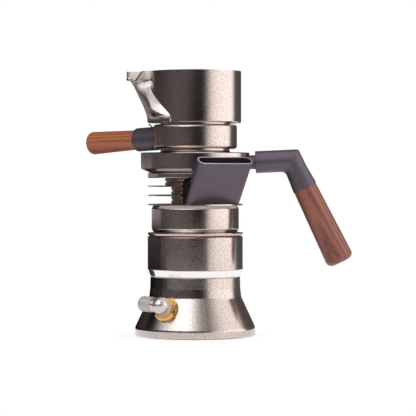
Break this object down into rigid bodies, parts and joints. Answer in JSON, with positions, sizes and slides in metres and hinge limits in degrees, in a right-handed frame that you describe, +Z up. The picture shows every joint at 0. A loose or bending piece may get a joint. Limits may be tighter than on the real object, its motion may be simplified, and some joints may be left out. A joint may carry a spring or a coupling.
{
  "type": "stovetop espresso maker",
  "caption": "Stovetop espresso maker: a flared boiler under a second boiler, heat-sink fins and group, with a clamp ring, a spouted open jug and wooden handles.",
  "frame": {"origin": "centre of the face that stands on the hob", "axes": "+Z up along the pot's axis, +X toward the long handle, -Y toward the side the picture shows"},
  "size_m": [0.2324, 0.1382, 0.2273],
  "materials": {
    "blasted_steel": "bead-blasted nickel grey, fine speckle",
    "hob_plate": "dark turned steel",
    "polished": "bright polish",
    "bronzed_core": "warm turned finish",
    "inner_steel": "plain turned",
    "spring_steel": "drawn wire",
    "brass": "machined",
    "valve_cap": "matte, fine tumbled",
    "silicone": "soft, pale",
    "gasket": "dark red-brown",
    "charcoal": "soft matte coat",
    "guard_coat": "satin anthracite coat",
    "black_block": "matte",
    "long_walnut": "oiled walnut, lengthwise grain",
    "short_walnut": "oiled walnut, lengthwise grain"
  },
  "bodies": {
    "base": {"base_boiler": "blasted_steel", "base_plate": "hob_plate", "valve_bush": "brass", "valve_body": "polished", "valve_cap": "valve_cap", "valve_spring": "spring_steel"},
    "relief_poppet": {"valve_poppet": "brass"},
    "seal_carrier": {"boiler_seal": "silicone"},
    "main": {"neck_ring": "polished", "lower_body": "blasted_steel", "seam_gasket": "gasket", "seam_flange": "blasted_steel", "collar": "blasted_steel", "dip_tube": "inner_steel", "riser_tube": "inner_steel", "inlet_block": "inner_steel", "outlet_block": "inner_steel", "heat_coil": "inner_steel", "lower_fin": "polished", "middle_fin": "polished", "upper_fin": "polished", "lower_core": "bronzed_core", "middle_core": "bronzed_core", "upper_core": "bronzed_core", "top_plate": "blasted_steel", "group_flange": "blasted_steel", "shower_plate": "inner_steel", "outlet_spring": "spring_steel", "handle_neck": "charcoal", "handle_elbow": "charcoal", "handle_stud": "inner_steel", "long_grip": "long_walnut", "grip_rod": "inner_steel", "guard_block": "black_block", "thumb_guard": "guard_coat", "guard_screw_left": "inner_steel", "guard_screw_right": "inner_steel"},
    "flow_poppet": {"outlet_poppet": "brass"},
    "basket": {"basket": "inner_steel", "basket_seal": "silicone"},
    "screen": {"top_screen": "inner_steel"},
    "jug": {"jug_shell": "blasted_steel", "jug_spacer": "blasted_steel", "jug_foot": "blasted_steel", "outlet_column": "polished"},
    "clamp": {"clamp_ring": "blasted_steel", "clamp_ferrule": "charcoal", "clamp_grip": "short_walnut", "clamp_stud": "inner_steel", "clamp_tab": "blasted_steel"}
  },
  "joints": [
    {"name": "valve_lift", "type": "slide", "parent": "base", "child": "relief_poppet", "axis": [-0.8413, 0.536, 0.0698], "range_m": [0, 0.0015], "stiffness_N_per_m": 2000, "springref_m": -0.004, "deforming": ["valve_spring"]},
    {"name": "body_rise", "type": "slide", "parent": "base", "child": "seal_carrier", "axis": [0, 0, 1], "range_m": [0, 0.0076]},
    {"name": "body_turn", "type": "hinge", "parent": "seal_carrier", "child": "main", "pos_m": [0, 0, 0.0512], "axis": [0, 0, 1], "range_deg": [0, 900]},
    {"name": "outlet_lift", "type": "slide", "parent": "main", "child": "flow_poppet", "axis": [0, 0, 1], "range_m": [0, 0.0015], "stiffness_N_per_m": 300, "springref_m": -0.003, "deforming": ["outlet_spring"]},
    {"name": "basket_lift", "type": "slide", "parent": "main", "child": "basket", "axis": [0, 0, 1], "range_m": [0, 0.035]},
    {"name": "top_lift", "type": "slide", "parent": "basket", "child": "screen", "axis": [0, 0, 1], "range_m": [0, 0.05]},
    {"name": "clamp_rise", "type": "slide", "parent": "screen", "child": "jug", "axis": [0, 0, 1], "range_m": [0, 0.0019]},
    {"name": "clamp_turn", "type": "hinge", "parent": "jug", "child": "clamp", "pos_m": [0, 0, 0.1709], "axis": [0, 0, 1], "range_deg": [0, 110]}
  ],
  "couplings": [
    {"joint": "body_rise", "follows": "body_turn", "m_per_rad": 0.00047746},
    {"joint": "clamp_rise", "follows": "clamp_turn", "m_per_rad": 0.00095493}
  ]
}
